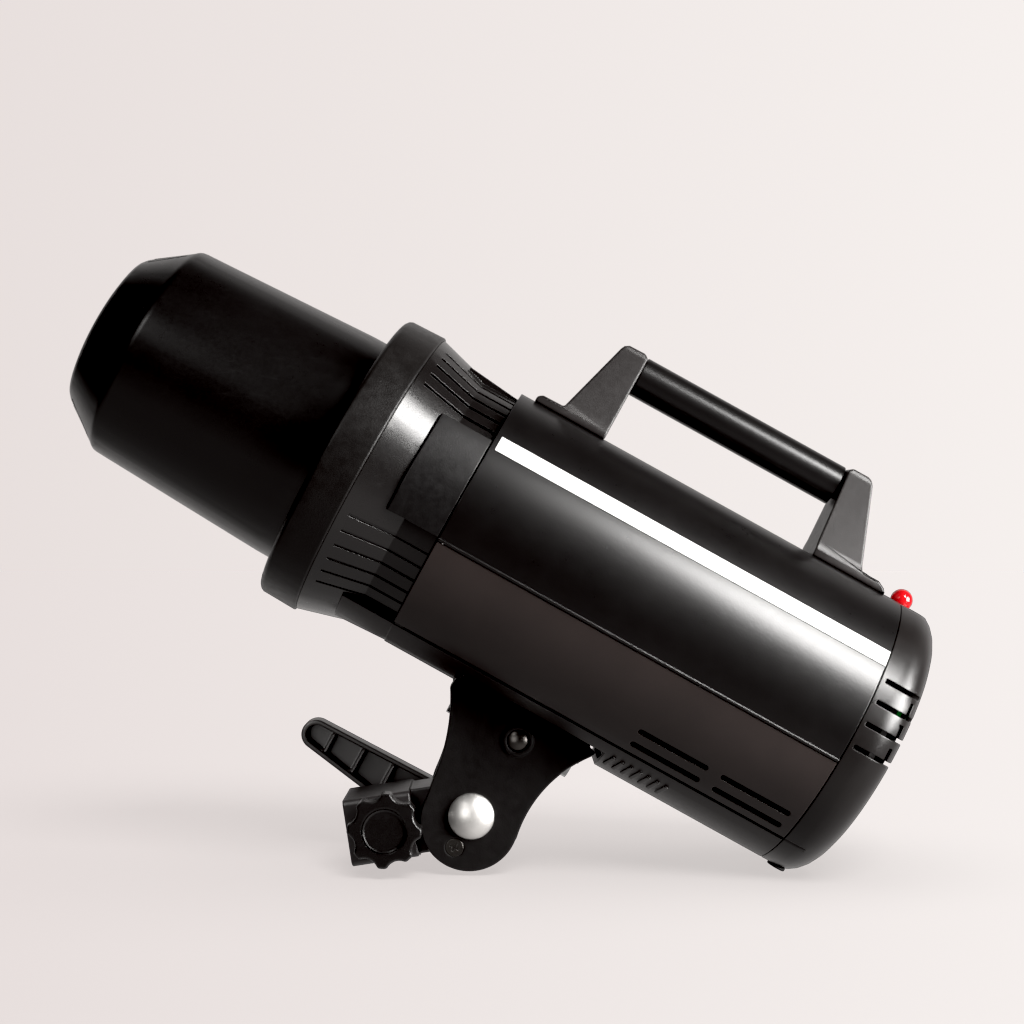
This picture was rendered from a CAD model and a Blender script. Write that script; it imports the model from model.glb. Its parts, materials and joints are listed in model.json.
import json
import math

import bpy
import bmesh
from mathutils import Matrix, Vector

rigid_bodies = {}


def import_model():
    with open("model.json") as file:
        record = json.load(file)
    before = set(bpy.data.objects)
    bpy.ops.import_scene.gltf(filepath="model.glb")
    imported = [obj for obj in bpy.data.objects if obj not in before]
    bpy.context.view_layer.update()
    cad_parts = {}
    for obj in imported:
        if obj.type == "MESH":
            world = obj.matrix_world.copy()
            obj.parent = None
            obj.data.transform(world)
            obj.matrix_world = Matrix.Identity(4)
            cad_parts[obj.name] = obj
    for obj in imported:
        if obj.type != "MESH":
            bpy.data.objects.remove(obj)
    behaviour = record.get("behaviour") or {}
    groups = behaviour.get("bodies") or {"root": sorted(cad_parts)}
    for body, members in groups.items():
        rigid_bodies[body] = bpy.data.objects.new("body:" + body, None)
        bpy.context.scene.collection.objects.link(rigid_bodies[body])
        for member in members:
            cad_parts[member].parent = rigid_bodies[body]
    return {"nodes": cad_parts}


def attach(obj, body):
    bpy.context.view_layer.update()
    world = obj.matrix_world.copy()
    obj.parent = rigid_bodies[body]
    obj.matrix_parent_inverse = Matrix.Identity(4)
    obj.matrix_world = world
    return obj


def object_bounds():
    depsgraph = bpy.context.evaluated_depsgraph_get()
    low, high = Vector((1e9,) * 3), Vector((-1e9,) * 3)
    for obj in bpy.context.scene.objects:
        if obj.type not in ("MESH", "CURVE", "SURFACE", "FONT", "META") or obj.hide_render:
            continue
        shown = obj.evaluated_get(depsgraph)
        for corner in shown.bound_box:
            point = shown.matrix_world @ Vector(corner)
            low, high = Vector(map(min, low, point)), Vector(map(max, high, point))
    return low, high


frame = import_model()
LO0, HI0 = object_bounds()
nodes = frame["nodes"]
scene = bpy.context.scene
MM = 0.001

# ---------------------------------------------------------------- frames
PITCH = math.radians(29.0)
DROP = math.radians(8.8)
CX, SX = math.cos(PITCH), math.sin(PITCH)
PIV = (56.5 * math.cos(DROP), 56.5 * math.sin(DROP))
OX = PIV[0] - (117 * CX - 111.5 * SX)
OZ = PIV[1] - (-117 * SX - 111.5 * CX)
LAMP = Matrix(((CX, 0, SX, OX * MM), (0, 1, 0, 0), (-SX, 0, CX, OZ * MM), (0, 0, 0, 1)))
ARM = Matrix(((math.cos(DROP), 0, -math.sin(DROP), 0), (0, 1, 0, 0),
              (math.sin(DROP), 0, math.cos(DROP), 0), (0, 0, 0, 1)))


def lamp_pt(x, y, z):
    return LAMP @ Vector((x * MM, y * MM, z * MM))


# ---------------------------------------------------------------- materials
class Tree:
    """Small helper to write shader nodes on few lines."""

    def __init__(self, name):
        self.mat = bpy.data.materials.new(name)
        self.mat.use_nodes = True
        self.t = self.mat.node_tree
        self.t.nodes.clear()
        self.out = self.n("ShaderNodeOutputMaterial")
        self.tc = self.n("ShaderNodeTexCoord")

    def n(self, kind, **props):
        node = self.t.nodes.new(kind)
        for k, v in props.items():
            setattr(node, k, v)
        return node

    def link(self, a, b):
        self.t.links.new(a, b)

    def put(self, sock, v):
        if isinstance(v, bpy.types.NodeSocket):
            self.link(v, sock)
        elif v is not None:
            sock.default_value = v

    def noise(self, scale, detail=3.0, rough=0.55, dist=0.0, vec=None):
        node = self.n("ShaderNodeTexNoise")
        node.inputs["Scale"].default_value = scale
        node.inputs["Detail"].default_value = detail
        node.inputs["Roughness"].default_value = rough
        node.inputs["Distortion"].default_value = dist
        self.link(vec or self.tc.outputs["Object"], node.inputs["Vector"])
        return node.outputs["Fac"]

    def stretch(self, sx, sy, sz, rot=(0, 0, 0)):
        node = self.n("ShaderNodeMapping")
        node.inputs["Scale"].default_value = (sx, sy, sz)
        node.inputs["Rotation"].default_value = rot
        self.link(self.tc.outputs["Object"], node.inputs["Vector"])
        return node.outputs["Vector"]

    def ramp(self, fac, lo, hi, a=0.0, b=1.0):
        node = self.n("ShaderNodeMapRange", clamp=True)
        self.put(node.inputs["Value"], fac)
        node.inputs["From Min"].default_value = lo
        node.inputs["From Max"].default_value = hi
        self.put(node.inputs["To Min"], a)
        self.put(node.inputs["To Max"], b)
        return node.outputs["Result"]

    def math(self, op, a, b=None, clamp=False):
        node = self.n("ShaderNodeMath", operation=op, use_clamp=clamp)
        self.put(node.inputs[0], a)
        if b is not None:
            self.put(node.inputs[1], b)
        return node.outputs[0]

    def mix(self, fac, a, b):
        node = self.n("ShaderNodeMix", data_type="RGBA")
        self.put(node.inputs["Factor"], fac)
        self.put(node.inputs["A"], a)
        self.put(node.inputs["B"], b)
        return node.outputs["Result"]

    def edge(self, radius):
        """0 on flat areas, up to 1 along edges, with the rounded normal."""
        bev = self.n("ShaderNodeBevel", samples=4)
        bev.inputs["Radius"].default_value = radius
        geo = self.n("ShaderNodeNewGeometry")
        dot = self.n("ShaderNodeVectorMath", operation="DOT_PRODUCT")
        self.link(bev.outputs["Normal"], dot.inputs[0])
        self.link(geo.outputs["Normal"], dot.inputs[1])
        e = self.ramp(dot.outputs["Value"], 0.995, 0.80, 0.0, 1.0)
        return e, bev.outputs["Normal"]

    def bump(self, height, dist, normal=None, strength=1.0):
        node = self.n("ShaderNodeBump")
        node.inputs["Strength"].default_value = strength
        node.inputs["Distance"].default_value = dist
        self.link(height, node.inputs["Height"])
        if normal is not None:
            self.link(normal, node.inputs["Normal"])
        return node.outputs["Normal"]

    def surface(self, **vals):
        p = self.n("ShaderNodeBsdfPrincipled")
        for k, v in vals.items():
            key = k.replace("_", " ")
            self.put(p.inputs[key], v)
        self.link(p.outputs[0], self.out.inputs["Surface"])
        return p


def rgb(c, k=1.0):
    return (c[0] * k, c[1] * k, c[2] * k, 1.0)


def moulded(name, base, rough, var=0.18, grain=1600.0, grain_depth=0.00002, rough_var=0.06,
            radius=0.0006, wear=0.5, wear_col=None, spec=0.5, coat=0.0, coat_rough=0.1,
            dust=0.06, stretch=None, metallic=0.0, scuff=0.08, sheen=0.0):
    """Moulded or coated surface: cloudy tone, grain in bump and roughness, faint scuffs, dust on top, worn edges."""
    t = Tree(name)
    vec = t.stretch(*stretch) if stretch else None
    cloud = t.noise(38.0, 5.0, 0.6, 0.3)
    fine = t.noise(grain, 2.0, 0.5, 0.0, vec)
    mid = t.noise(grain * 0.21, 3.0, 0.6, 0.0, vec)
    scr = t.noise(220.0, 6.0, 0.7, 1.2, t.stretch(0.12, 1.0, 1.0, (0.3, 0.5, 0.2)))
    e, nrm = t.edge(radius)
    patch = t.ramp(t.noise(170.0, 4.0, 0.7), 0.38, 0.68)
    worn = t.math("MULTIPLY", t.math("MULTIPLY", e, patch), wear, True)
    col = t.mix(t.ramp(cloud, 0.3, 0.7), rgb(base, 1.0 - var), rgb(base, 1.0 + var))
    col = t.mix(t.math("MULTIPLY", t.ramp(fine, 0.52, 0.72), var), col, rgb(base, 1.9))
    wc = wear_col or (base[0] * 2.0 + 0.012, base[1] * 2.0 + 0.012, base[2] * 2.0 + 0.012)
    col = t.mix(worn, col, rgb(wc))
    geo = t.n("ShaderNodeNewGeometry")
    sep = t.n("ShaderNodeSeparateXYZ")
    t.link(geo.outputs["Normal"], sep.inputs[0])
    up = t.ramp(sep.outputs["Z"], 0.35, 0.98)
    dusty = t.math("MULTIPLY", t.math("MULTIPLY", up, t.ramp(cloud, 0.35, 0.75, 0.35, 1.0)), dust)
    col = t.mix(dusty, col, (0.33, 0.31, 0.30, 1))
    r = t.math("ADD", rough, t.math("MULTIPLY", t.math("SUBTRACT", mid, 0.5), rough_var * 2.2))
    r = t.math("ADD", r, t.math("MULTIPLY", t.ramp(scr, 0.58, 0.75), scuff))
    r = t.math("ADD", r, t.math("MULTIPLY", t.math("SUBTRACT", cloud, 0.5), rough_var * 1.6), True)
    h = t.math("ADD", t.math("MULTIPLY", fine, 0.6), t.math("MULTIPLY", mid, 0.4))
    bn = t.bump(h, grain_depth, nrm)
    t.surface(Base_Color=col, Roughness=r, Metallic=metallic, Specular_IOR_Level=spec,
              Coat_Weight=coat, Coat_Roughness=coat_rough, Normal=bn, Sheen_Weight=sheen)
    return t.mat


def metal(name, base, rough, grain=(1, 1, 1), depth=0.000006, radius=0.0004, var=0.08, tint=None, aniso=0.0, dirt=0.25):
    """Turned, plated or blackened metal: fine directional marks, darker film in patches, brighter edges."""
    t = Tree(name)
    vec = t.stretch(*grain)
    lines = t.noise(900.0, 3.0, 0.6, 0.0, vec)
    cloud = t.noise(85.0, 5.0, 0.65, 0.5)
    spots = t.ramp(t.noise(420.0, 4.0, 0.7), 0.6, 0.78)
    e, nrm = t.edge(radius)
    col = t.mix(t.ramp(cloud, 0.3, 0.72), rgb(base, 1.0 - var), rgb(base, 1.0 + var * 0.6))
    col = t.mix(t.math("MULTIPLY", spots, dirt), col, rgb(tint or base, 0.42))
    col = t.mix(t.math("MULTIPLY", e, 0.35), col, rgb((min(1, base[0] * 1.35 + .04), min(1, base[1] * 1.35 + .04), min(1, base[2] * 1.35 + .04))))
    r = t.math("ADD", rough, t.math("MULTIPLY", t.math("SUBTRACT", lines, 0.5), 0.16))
    r = t.math("ADD", r, t.math("MULTIPLY", spots, 0.15), True)
    t.surface(Base_Color=col, Metallic=1.0, Roughness=r, Anisotropic=aniso, Normal=t.bump(lines, depth, nrm))
    return t.mat


def lens(name, base, rough, alpha=None, trans=1.0, ior=1.49, glow=None, var=0.06):
    """Clear or tinted moulding or glass, with faint streaks in its roughness."""
    t = Tree(name)
    cloud = t.noise(120.0, 4.0, 0.6, 0.6)
    fine = t.noise(1300.0, 2.0)
    col = t.mix(t.ramp(cloud, 0.3, 0.7), rgb(base, 1 - var), rgb(base, 1 + var))
    r = t.math("ADD", rough, t.math("MULTIPLY", t.ramp(cloud, 0.45, 0.75), 0.05), True)
    p = t.surface(Base_Color=col, Roughness=r, Transmission_Weight=trans, IOR=ior,
                  Normal=t.bump(fine, 0.000002))
    if glow:
        p.inputs["Emission Color"].default_value = rgb(glow[0])
        p.inputs["Emission Strength"].default_value = glow[1]
    if alpha is not None:
        p.inputs["Alpha"].default_value = alpha
    return t.mat


def ceramic(name, base):
    t = Tree(name)
    cloud = t.noise(60.0, 4.0, 0.6)
    speck = t.ramp(t.noise(1500.0, 2.0), 0.66, 0.74)
    col = t.mix(t.ramp(cloud, 0.3, 0.7), rgb(base, 0.9), rgb(base, 1.03))
    col = t.mix(t.math("MULTIPLY", speck, 0.5), col, rgb(base, 0.55))
    e, nrm = t.edge(0.0005)
    t.surface(Base_Color=col, Roughness=t.ramp(cloud, 0.2, 0.8, 0.16, 0.34), Coat_Weight=0.4,
              Normal=t.bump(t.noise(300.0, 3.0), 0.00001, nrm))
    return t.mat


def winding(name):
    """Taped coil: thin turns under amber tape."""
    t = Tree(name)
    w = t.n("ShaderNodeTexWave", wave_type="BANDS", bands_direction="Z", wave_profile="SAW")
    w.inputs["Scale"].default_value = 260.0
    w.inputs["Distortion"].default_value = 0.6
    t.link(t.tc.outputs["Object"], w.inputs["Vector"])
    cloud = t.noise(90.0, 4.0)
    col = t.mix(w.outputs["Fac"], (0.42, 0.22, 0.03, 1), (0.72, 0.45, 0.08, 1))
    col = t.mix(t.ramp(cloud, 0.5, 0.8, 0, 0.5), col, (0.2, 0.1, 0.02, 1))
    t.surface(Base_Color=col, Roughness=t.ramp(cloud, 0.2, 0.8, 0.25, 0.5),
              Normal=t.bump(w.outputs["Fac"], 0.00008))
    return t.mat


def board(name):
    """Circuit board: solder mask with copper tracks showing through and tinned pads."""
    t = Tree(name)
    br = t.n("ShaderNodeTexBrick", offset=0.5)
    br.inputs["Scale"].default_value = 120.0
    br.inputs["Mortar Size"].default_value = 0.03
    t.link(t.tc.outputs["Object"], br.inputs["Vector"])
    vor = t.n("ShaderNodeTexVoronoi", feature="F1")
    vor.inputs["Scale"].default_value = 260.0
    t.link(t.tc.outputs["Object"], vor.inputs["Vector"])
    pads = t.ramp(vor.outputs["Distance"], 0.20, 0.14)
    cloud = t.noise(50.0, 4.0)
    col = t.mix(t.ramp(cloud, 0.3, 0.7), (0.012, 0.10, 0.035, 1), (0.02, 0.16, 0.055, 1))
    col = t.mix(t.math("MULTIPLY", br.outputs["Fac"], 0.5), col, (0.05, 0.26, 0.09, 1))
    col = t.mix(t.math("MULTIPLY", pads, 0.6), col, (0.55, 0.53, 0.48, 1))
    t.surface(Base_Color=col, Roughness=t.ramp(cloud, 0.2, 0.8, 0.25, 0.45),
              Metallic=t.math("MULTIPLY", pads, 0.6), Normal=t.bump(br.outputs["Fac"], 0.00003))
    return t.mat


MATS = {
    "cast_black": moulded("cast_black", (0.0036, 0.0032, 0.0032), 0.44, var=0.25, grain=1500.0, grain_depth=0.000075,
                          rough_var=0.10, radius=0.0008, wear=0.40, spec=0.36, dust=0.006),
    "arm_black": moulded("arm_black", (0.0105, 0.0090, 0.0092), 0.42, var=0.25, grain=1500.0, grain_depth=0.00006,
                         rough_var=0.08, radius=0.0008, wear=0.40, spec=0.6, dust=0.008),
    "lever_black": moulded("lever_black", (0.0090, 0.0076, 0.0074), 0.36, var=0.2, grain=1700.0, grain_depth=0.00003,
                           rough_var=0.06, radius=0.0009, wear=0.5, spec=0.6, dust=0.006),
    "shell_black": moulded("shell_black", (0.0026, 0.0023, 0.0023), 0.285, var=0.2, grain=1250.0, grain_depth=0.00003,
                           rough_var=0.02, radius=0.0006, wear=0.25, spec=0.55, dust=0.004, scuff=0.02),
    "shell_charcoal": moulded("shell_charcoal", (0.0225, 0.0168, 0.0155), 0.33, var=0.14, grain=1300.0, grain_depth=0.000014,
                              rough_var=0.05, radius=0.0006, wear=0.3, spec=0.5, dust=0.004),
    "rear_charcoal": moulded("rear_charcoal", (0.0055, 0.0046, 0.0044), 0.31, var=0.12, grain=1400.0, grain_depth=0.00002,
                             rough_var=0.04, radius=0.0006, wear=0.3, spec=0.46, dust=0.003, scuff=0.03),
    "rail_black": moulded("rail_black", (0.013, 0.0105, 0.0100), 0.36, var=0.12, grain=2200.0, grain_depth=0.000014,
                          rough_var=0.06, radius=0.0005, wear=0.4, spec=0.5, dust=0.004),
    "bezel_gloss": moulded("bezel_gloss", (0.0040, 0.0034, 0.0033), 0.26, var=0.12, grain=2000.0, grain_depth=0.000012,
                           rough_var=0.03, radius=0.0005, wear=0.3, spec=0.55, coat=0.12, coat_rough=0.16, dust=0.004),
    "ring_black": moulded("ring_black", (0.0048, 0.0042, 0.0040), 0.40, var=0.35, grain=1300.0, grain_depth=0.00010,
                          rough_var=0.10, radius=0.0007, wear=0.45, spec=0.40, dust=0.004),
    "cap_black": moulded("cap_black", (0.0030, 0.0027, 0.0027), 0.30, var=0.14, grain=2600.0, grain_depth=0.000008,
                         rough_var=0.05, radius=0.0007, wear=0.35, spec=0.5, dust=0.005, scuff=0.07),
    "pad_black": moulded("pad_black", (0.0030, 0.0027, 0.0028), 0.38, var=0.22, grain=1500.0, grain_depth=0.00006,
                         rough_var=0.09, radius=0.0005, wear=0.2, spec=0.5, sheen=0.0, dust=0.006),
    "stripe_white": moulded("stripe_white", (0.86, 0.85, 0.845), 0.38, var=0.03, grain=1800.0, grain_depth=0.00001,
                            rough_var=0.04, radius=0.0003, wear=0.15, wear_col=(0.6, 0.58, 0.56), dust=0.0),
    "handle_grey": moulded("handle_grey", (0.0085, 0.0068, 0.0066), 0.40, var=0.12, grain=1700.0, grain_depth=0.000035,
                           rough_var=0.07, radius=0.0008, wear=0.4, spec=0.5, dust=0.006),
    "grip_black": moulded("grip_black", (0.0030, 0.0027, 0.0027), 0.31, var=0.16, grain=1500.0, grain_depth=0.000016,
                          rough_var=0.03, radius=0.0006, wear=0.2, spec=0.40, dust=0.004, scuff=0.02),
    "knob_black": moulded("knob_black", (0.0038, 0.0034, 0.0034), 0.27, var=0.16, grain=1700.0, grain_depth=0.00002,
                          rough_var=0.07, radius=0.0009, wear=0.45, spec=0.6, dust=0.008),
    "panel_black": moulded("panel_black", (0.0060, 0.0058, 0.0058), 0.42, var=0.15, grain=1700.0, grain_depth=0.00004,
                           rough_var=0.07, radius=0.0004, wear=0.3, spec=0.5, dust=0.006),
    "rubber_black": moulded("rubber_black", (0.006, 0.006, 0.006), 0.62, var=0.25, grain=1200.0, grain_depth=0.00006,
                            rough_var=0.08, radius=0.0005, wear=0.2, spec=0.4, dust=0.012),
    "button_grey": moulded("button_grey", (0.20, 0.20, 0.21), 0.5, var=0.08, grain=1800.0, grain_depth=0.00002,
                           radius=0.0005, wear=0.3, dust=0.02),
    "button_red": moulded("button_red", (0.50, 0.035, 0.03), 0.45, var=0.08, grain=1800.0, grain_depth=0.00002,
                          radius=0.0005, wear=0.3, wear_col=(0.7, 0.2, 0.18), dust=0.02),
    "nylon_natural": moulded("nylon_natural", (0.68, 0.64, 0.54), 0.45, var=0.06, radius=0.0003, wear=0.2,
                             wear_col=(0.8, 0.77, 0.68), dust=0.0),
    "reflector_white": moulded("reflector_white", (0.80, 0.78, 0.74), 0.32, var=0.04, grain=1400.0, grain_depth=0.00002,
                               radius=0.0005, wear=0.3, wear_col=(0.6, 0.58, 0.55), dust=0.0),
    "capacitor_blue": moulded("capacitor_blue", (0.02, 0.045, 0.22), 0.28, var=0.1, radius=0.0008, wear=0.3, spec=0.6,
                              coat=0.3, dust=0.0),
    "zinc_bright": metal("zinc_bright", (0.86, 0.845, 0.82), 0.44, grain=(1, 0.08, 1), depth=0.000005, dirt=0.25),
    "steel_plain": metal("steel_plain", (0.56, 0.56, 0.56), 0.26, grain=(0.08, 1, 1), depth=0.000008),
    "black_oxide": metal("black_oxide", (0.07, 0.066, 0.062), 0.30, grain=(1, 0.1, 1), depth=0.000008, dirt=0.3),
    "alloy": metal("alloy", (0.72, 0.73, 0.74), 0.32, grain=(1, 0.05, 0.4), depth=0.000010),
    "brass_pin": metal("brass_pin", (0.80, 0.62, 0.30), 0.22, grain=(0.1, 1, 1), depth=0.000006),
    "ceramic_white": ceramic("ceramic_white", (0.84, 0.81, 0.75)),
    "glass_clear": lens("glass_clear", (0.96, 0.97, 0.98), 0.02, trans=0.95, ior=1.47),
    "glass_frosted": lens("glass_frosted", (0.93, 0.90, 0.82), 0.38, trans=0.65, ior=1.46),
    "display_glass": lens("display_glass", (0.030, 0.040, 0.038), 0.07, trans=0.0, ior=1.5),
    "led_green": lens("led_green", (0.10, 0.72, 0.22), 0.2, trans=0.35, ior=1.45, glow=((0.1, 0.9, 0.25), 0.25)),
    "sensor_red": lens("sensor_red", (0.62, 0.010, 0.014), 0.08, trans=0.45, ior=1.49, glow=((0.6, 0.01, 0.02), 0.06)),
    "board_green": board("board_green"),
    "copper_wound": winding("copper_wound"),
}

SLOT = {
    "receiver_arm": "arm_black", "stand_knob": "knob_black", "knob_stud": "steel_plain",
    "bracket_left": "cast_black", "bracket_right": "cast_black", "bracket_bolts": "black_oxide",
    "friction_discs": "nylon_natural", "disc_screws": "black_oxide", "umbrella_tube": "steel_plain",
    "umbrella_screw": "black_oxide", "pivot_bolt": "zinc_bright", "lever_washer": "zinc_bright",
    "tilt_lever": "lever_black", "lever_insert": "brass_pin", "bottom_rail": "rail_black",
    "rear_feet": "rubber_black", "lower_shell": "shell_charcoal", "upper_shell": "shell_black",
    "side_stripes": "stripe_white", "front_bezel": "bezel_gloss", "side_pads": "pad_black",
    "front_mount_ring": "ring_black", "bayonet_plate": "alloy", "release_button": "panel_black",
    "lock_pin": "steel_plain", "protective_cap": "cap_black", "reflector_plate": "reflector_white",
    "lamp_socket": "ceramic_white", "lamp_base": "brass_pin", "modelling_lamp": "glass_clear",
    "flash_tube": "glass_frosted", "tube_sockets": "ceramic_white", "chassis_frame": "alloy",
    "capacitors": "capacitor_blue", "main_board": "board_green", "transformer": "copper_wound",
    "fan_frame": "panel_black", "fan_rotor": "panel_black", "control_board": "board_green",
    "rear_cap": "rear_charcoal", "control_panel": "panel_black", "display_window": "display_glass",
    "power_dial": "knob_black", "button_model": "button_grey", "button_slave": "button_grey",
    "button_test": "button_red", "power_switch": "knob_black", "switch_housing": "panel_black",
    "mains_inlet": "panel_black", "inlet_pins": "brass_pin", "fuse_holder": "panel_black",
    "fuse_cap": "knob_black", "sync_jack": "zinc_bright", "ready_led": "led_green",
    "sensor_dome": "sensor_red", "handle_front_post": "handle_grey", "handle_rear_post": "handle_grey",
    "handle_grip": "grip_black", "handle_screws": "black_oxide", "panel_screws": "black_oxide",
}

# real edge rounding of each visible node, in mm: (width, segments)
ROUND = {
    "receiver_arm": (0.9, 3), "stand_knob": (0.9, 3), "bracket_left": (0.7, 2), "bracket_right": (0.7, 2),
    "tilt_lever": (0.9, 3), "handle_front_post": (0.9, 3), "handle_rear_post": (0.9, 3), "handle_grip": (0.6, 2),
    "upper_shell": (0.25, 2), "lower_shell": (0.25, 2), "rear_cap": (0.3, 2), "bottom_rail": (0.25, 2),
    "side_pads": (0.3, 2), "protective_cap": (0.3, 2), "front_mount_ring": (0.3, 2), "front_bezel": (0.15, 2),
    "power_dial": (0.3, 2), "button_model": (0.5, 3), "button_slave": (0.5, 3), "button_test": (0.5, 3),
    "power_switch": (0.3, 2), "mains_inlet": (0.3, 2), "switch_housing": (0.25, 2), "release_button": (0.3, 2),
    "rear_feet": (0.4, 2), "lever_washer": (0.25, 2), "pivot_bolt": (0.3, 2), "fuse_cap": (0.4, 2),
    "lever_insert": (0.2, 2), "control_panel": (0.2, 2), "display_window": (0.2, 2), "handle_screws": (0.15, 2),
    "transformer": (0.4, 2), "capacitors": (0.8, 3), "lamp_socket": (0.5, 2),
}


def shade_group(limit):
    g = bpy.data.node_groups.new("smooth_by_angle", "GeometryNodeTree")
    g.interface.new_socket("Geometry", in_out="INPUT", socket_type="NodeSocketGeometry")
    g.interface.new_socket("Geometry", in_out="OUTPUT", socket_type="NodeSocketGeometry")
    a, b = g.nodes.new("NodeGroupInput"), g.nodes.new("NodeGroupOutput")
    ang = g.nodes.new("GeometryNodeInputMeshEdgeAngle")
    cmp = g.nodes.new("FunctionNodeCompare")
    cmp.data_type, cmp.operation = "FLOAT", "GREATER_THAN"
    cmp.inputs[1].default_value = limit
    st = g.nodes.new("GeometryNodeStoreNamedAttribute")
    st.data_type, st.domain = "BOOLEAN", "EDGE"
    st.inputs["Name"].default_value = "sharp_edge"
    sm = g.nodes.new("GeometryNodeSetShadeSmooth")
    sm.domain = "FACE"
    g.links.new(ang.outputs["Unsigned Angle"], cmp.inputs[0])
    g.links.new(a.outputs[0], sm.inputs["Geometry"])
    g.links.new(sm.outputs[0], st.inputs["Geometry"])
    g.links.new(cmp.outputs[0], st.inputs["Value"])
    g.links.new(st.outputs[0], b.inputs[0])
    return g


SMOOTH = shade_group(math.radians(32))
SMOOTH_CRISP = shade_group(math.radians(9))
CRISP = {"front_bezel"}


CRISP_NAMES = {nodes[n].name for n in CRISP}


def dress(o, mat, width=0.0, seg=2, weld=True, dissolve=True):
    """Material, welded and planar-cleaned mesh, rounded edges and smooth shading, all as modifiers."""
    o.data.materials.clear()
    o.data.materials.append(mat)
    for at in ("custom_normal",):
        if at in o.data.attributes:
            o.data.attributes.remove(o.data.attributes[at])
    if weld:
        m = o.modifiers.new("weld", "WELD")
        m.merge_threshold = 0.000004
    if dissolve:
        m = o.modifiers.new("flat", "DECIMATE")
        m.decimate_type = "DISSOLVE"
        m.angle_limit = math.radians(0.35)
    if width:
        m = o.modifiers.new("round", "BEVEL")
        m.limit_method = "ANGLE"
        m.angle_limit = math.radians(34)
        m.width = width * MM
        m.segments = seg
        m.use_clamp_overlap = False
        m.miter_outer = "MITER_ARC"
        m.profile = 0.5
    m = o.modifiers.new("smooth", "NODES")
    m.node_group = SMOOTH_CRISP if o.name in CRISP_NAMES else SMOOTH
    m = o.modifiers.new("weighted", "WEIGHTED_NORMAL")
    m.keep_sharp = True
    m.weight = 60


for name, o in nodes.items():
    w, s = ROUND.get(name, (0.0, 2))
    dress(o, MATS[SLOT[name]], w, s)

# ---------------------------------------------------------------- extra pieces
def new_piece(name, verts, faces, body, mat, matrix=LAMP, width=0.0, seg=2, smooth=True):
    me = bpy.data.meshes.new(name)
    me.from_pydata([tuple(matrix @ Vector((v[0] * MM, v[1] * MM, v[2] * MM))) for v in verts], [], faces)
    bm = bmesh.new()
    bm.from_mesh(me)
    bmesh.ops.recalc_face_normals(bm, faces=bm.faces)
    bm.to_mesh(me)
    bm.free()
    o = bpy.data.objects.new(name, me)
    scene.collection.objects.link(o)
    dress(o, mat, width, seg, weld=False, dissolve=False)
    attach(o, body)
    return o


def swept(profile, a0, a1, n, closed=False):
    """(x, r) closed profile turned about the lamp axis from angle a0 to a1; angle 0 points up, 90 to the -Y side."""
    verts, faces, m = [], [], len(profile)
    count = n if closed else n + 1
    for i in range(count):
        a = math.radians(a0 + (a1 - a0) * i / n)
        for x, rr in profile:
            verts.append((x, -rr * math.sin(a), rr * math.cos(a)))
    for i in range(n):
        k = (i + 1) % count
        for j in range(m):
            jj = (j + 1) % m
            faces.append((i * m + j, i * m + jj, k * m + jj, k * m + j))
    if not closed:
        faces.append(tuple(range(m)))
        faces.append(tuple(range((count - 1) * m, count * m))[::-1])
    return verts, faces


# black insulating card behind the slots, and a screen behind the rear vents
for side, (a0, a1) in {"near": (66, 148), "far": (212, 294)}.items():
    v, f = swept([(50, 63.1), (50, 63.7), (238, 63.7), (238, 63.1)], a0, a1, 40)
    new_piece("insulating_card_" + side, v, f, "head", MATS["pad_black"])
v, f = swept([(241.6, 60.4), (241.6, 61.0), (251.6, 61.0), (255.6, 55.6), (255.6, 55.0), (251.3, 60.4)], 0, 360, 96, True)
new_piece("vent_screen", v, f, "head", MATS["pad_black"])

# ---------------------------------------------------------------- stage
FLOOR_Z = LO0.z
bpy.ops.mesh.primitive_plane_add(size=9.0, location=(0, 0, FLOOR_Z - 0.0002))
floor = bpy.context.object
floor.name = "stage_floor"
floor.is_shadow_catcher = True
floor.visible_glossy = False
floor.visible_diffuse = False
floor.visible_transmission = False
t = Tree("stage_white")
t.surface(Base_Color=t.mix(t.ramp(t.noise(2.0, 2.0), 0.3, 0.7), (0.86, 0.83, 0.82, 1), (0.89, 0.865, 0.855, 1)), Roughness=0.7)
floor.data.materials.append(t.mat)

# markers on the tilting bodies let the floor drop under them, so it never cuts a tilted head
marks = []
for body, members in (("head", ("rear_cap", "rear_feet", "front_bezel", "front_mount_ring", "handle_front_post", "handle_rear_post",
                                "handle_grip", "sensor_dome", "upper_shell", "modelling_lamp")),
                      ("cap", ("protective_cap",)), ("tilt_lever", ("tilt_lever",))):
    pts = [nodes[n].matrix_world @ v.co for n in members for v in nodes[n].data.vertices]
    tips = []
    for k in range(16):
        a = math.radians(22.5 * k)
        q = max(pts, key=lambda c: c.x * math.cos(a) + c.z * math.sin(a))
        if all((q - u).length > 0.004 for u in tips):
            tips.append(q)
    for q in tips:
        e = bpy.data.objects.new("low_mark_%02d" % len(marks), None)
        scene.collection.objects.link(e)
        e.location = q
        e.empty_display_size = 0.004
        e.hide_render = True
        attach(e, body)
        marks.append(e)
fc = floor.driver_add("location", 2)
fc.driver.type = "MIN"
for k, e in enumerate(marks):
    var = fc.driver.variables.new()
    var.name = "m%02d" % k
    var.type = "TRANSFORMS"
    var.targets[0].id = e
    var.targets[0].transform_type = "LOC_Z"
    var.targets[0].transform_space = "WORLD_SPACE"
base = bpy.data.objects.new("low_mark_rest", None)
scene.collection.objects.link(base)
base.location = (0, 0, FLOOR_Z - 0.0002)
base.hide_render = True
var = fc.driver.variables.new()
var.name = "rest"
var.type = "TRANSFORMS"
var.targets[0].id = base
var.targets[0].transform_type = "LOC_Z"
var.targets[0].transform_space = "WORLD_SPACE"

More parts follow.
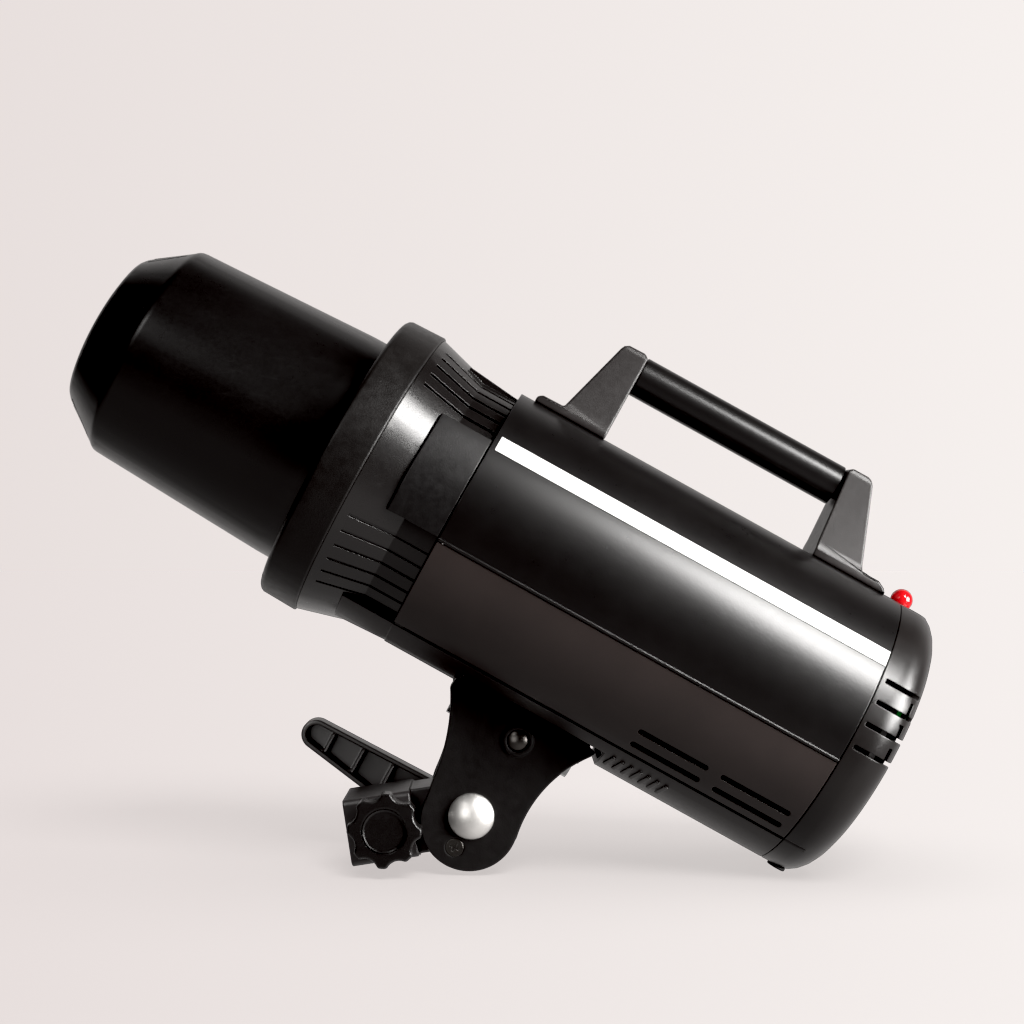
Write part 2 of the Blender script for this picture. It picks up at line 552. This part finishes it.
scene.view_settings.view_transform = "Standard"
scene.view_settings.look = "None"
scene.view_settings.exposure = 0.0
scene.view_settings.gamma = 1.0
# a photographer's levels: the deepest tones fall to black
scene.view_settings.use_curve_mapping = True
scene.view_settings.curve_mapping.black_level = (0.0065, 0.0072, 0.0072)
scene.view_settings.curve_mapping.update()

world = bpy.data.worlds.new("studio")
scene.world = world
world.use_nodes = True
wt = world.node_tree
wt.nodes.clear()
wo = wt.nodes.new("ShaderNodeOutputWorld")
tc = wt.nodes.new("ShaderNodeTexCoord")
sep = wt.nodes.new("ShaderNodeSeparateXYZ")
wt.links.new(tc.outputs["Generated"], sep.inputs[0])


def wramp(src, lo, hi, a, b, smooth=True):
    n = wt.nodes.new("ShaderNodeMapRange")
    n.interpolation_type = "SMOOTHSTEP" if smooth else "LINEAR"
    n.clamp = True
    wt.links.new(src, n.inputs["Value"])
    n.inputs["From Min"].default_value = lo
    n.inputs["From Max"].default_value = hi
    n.inputs["To Min"].default_value = a
    n.inputs["To Max"].default_value = b
    return n.outputs["Result"]


def wmath(op, a, b):
    n = wt.nodes.new("ShaderNodeMath")
    n.operation = op
    for i, v in enumerate((a, b)):
        if isinstance(v, bpy.types.NodeSocket):
            wt.links.new(v, n.inputs[i])
        else:
            n.inputs[i].default_value = v
    return n.outputs[0]


# seen by the camera: a pale seamless backdrop, a little darker to the left
side = wramp(sep.outputs["X"], -0.32, 0.30, 0.0, 1.0, False)
cr = wt.nodes.new("ShaderNodeMix")
cr.data_type = "RGBA"
wt.links.new(side, cr.inputs["Factor"])
cr.inputs["A"].default_value = (0.79, 0.725, 0.71, 1)
cr.inputs["B"].default_value = (0.93, 0.885, 0.865, 1)
bg_cam = wt.nodes.new("ShaderNodeBackground")
wt.links.new(cr.outputs["Result"], bg_cam.inputs["Color"])
bg_cam.inputs["Strength"].default_value = 1.0
# what lights and mirrors: white sweep behind and below, dark studio on the camera side
back = wramp(sep.outputs["Y"], 0.35, 0.80, 0.010, 0.65)
low = wmath("MULTIPLY", wramp(sep.outputs["Z"], -0.02, -0.60, 0.0, 0.66), wramp(sep.outputs["X"], -0.75, 0.35, 0.35, 1.0))
strength = wmath("MAXIMUM", back, low)
bg_env = wt.nodes.new("ShaderNodeBackground")
bg_env.inputs["Color"].default_value = (1.0, 0.965, 0.95, 1)
wt.links.new(strength, bg_env.inputs["Strength"])
lp_ = wt.nodes.new("ShaderNodeLightPath")
mx = wt.nodes.new("ShaderNodeMixShader")
wt.links.new(lp_.outputs["Is Camera Ray"], mx.inputs["Fac"])
wt.links.new(bg_env.outputs[0], mx.inputs[1])
wt.links.new(bg_cam.outputs[0], mx.inputs[2])
wt.links.new(mx.outputs[0], wo.inputs["Surface"])


def softbox(name, pos, aim, w, h, power, spread=math.pi, col=(1, 0.985, 0.97), receivers=None):
    d = bpy.data.lights.new(name, "AREA")
    d.shape, d.size, d.size_y, d.energy, d.color = "RECTANGLE", w, h, power, col
    d.spread = spread
    o = bpy.data.objects.new(name, d)
    scene.collection.objects.link(o)
    o.location = pos
    o.rotation_mode = "QUATERNION"
    o.rotation_quaternion = (Vector(aim) - Vector(pos)).to_track_quat("-Z", "Y")
    o.visible_camera = False
    o.light_linking.receiver_collection = receivers or all_parts
    return o


# floor and object have their own lights, so the cast shadow stays as soft as in a lit white sweep
floor_only = bpy.data.collections.new("floor_only")
floor_only.objects.link(floor)
nothing = bpy.data.collections.new("nothing")
nothing.objects.link(floor)
all_parts = bpy.data.collections.new("all_parts")
for o in scene.objects:
    if o.type == "MESH" and o is not floor:
        all_parts.objects.link(o)


def wash(name, energy, direction, blockers=None, angle=20):
    d = bpy.data.lights.new(name, "SUN")
    d.energy, d.angle = energy, math.radians(angle)
    o = bpy.data.objects.new(name, d)
    scene.collection.objects.link(o)
    o.rotation_mode = "QUATERNION"
    o.rotation_quaternion = Vector(direction).to_track_quat("-Z", "Y")
    o.light_linking.receiver_collection = floor_only
    if blockers is not None:
        o.light_linking.blocker_collection = blockers
    return o


wash("floor_wash", 13.0, (0.0, 0.0, -1.0), nothing)
wash("floor_shade", 3.6, (-0.30, 0.85, -1.0), angle=28)
wash("floor_contact", 3.2, (0.0, 0.10, -1.0), angle=75)

C = Vector((0.12, 0.0, 0.15))
softbox("key_top_right", (0.66, -0.50, 0.61), (0.18, -0.05, 0.125), 0.27, 0.31, 1.7, spread=math.radians(75))
softbox("fill_top_left", (-0.38, -0.75, 0.72), (-0.02, 0, 0.2), 0.30, 0.25, 1.1)
bright_work = bpy.data.collections.new("bright_work")
for n in ("pivot_bolt", "umbrella_screw", "lever_washer", "disc_screws", "tilt_lever"):
    bright_work.objects.link(nodes[n])
softbox("front_card", (-0.20, -0.62, 0.12), (0.02, 0.0, 0.03), 0.34, 0.34, 1.15, receivers=bright_work)
lever_only = bpy.data.collections.new("lever_only")
for n in ("tilt_lever", "receiver_arm"):
    lever_only.objects.link(nodes[n])
softbox("lever_card", (-0.34, -0.42, 0.34), (-0.06, 0.0, 0.05), 0.30, 0.30, 2.6, receivers=lever_only)
softbox("side_right", (1.02, -0.42, 0.22), C, 0.60, 0.56, 12.5, spread=math.radians(110))

# ---------------------------------------------------------------- camera
cam_data = bpy.data.cameras.new("camera")
cam_data.lens, cam_data.sensor_width, cam_data.sensor_fit = 70.3125, 36.0, "HORIZONTAL"
cam_data.clip_start, cam_data.clip_end = 0.01, 50.0
cam = bpy.data.objects.new("camera", cam_data)
scene.collection.objects.link(cam)
cam.location = (0.07406, -0.920, 0.14468)
cam.rotation_euler = (math.radians(90), 0, 0)
scene.camera = cam
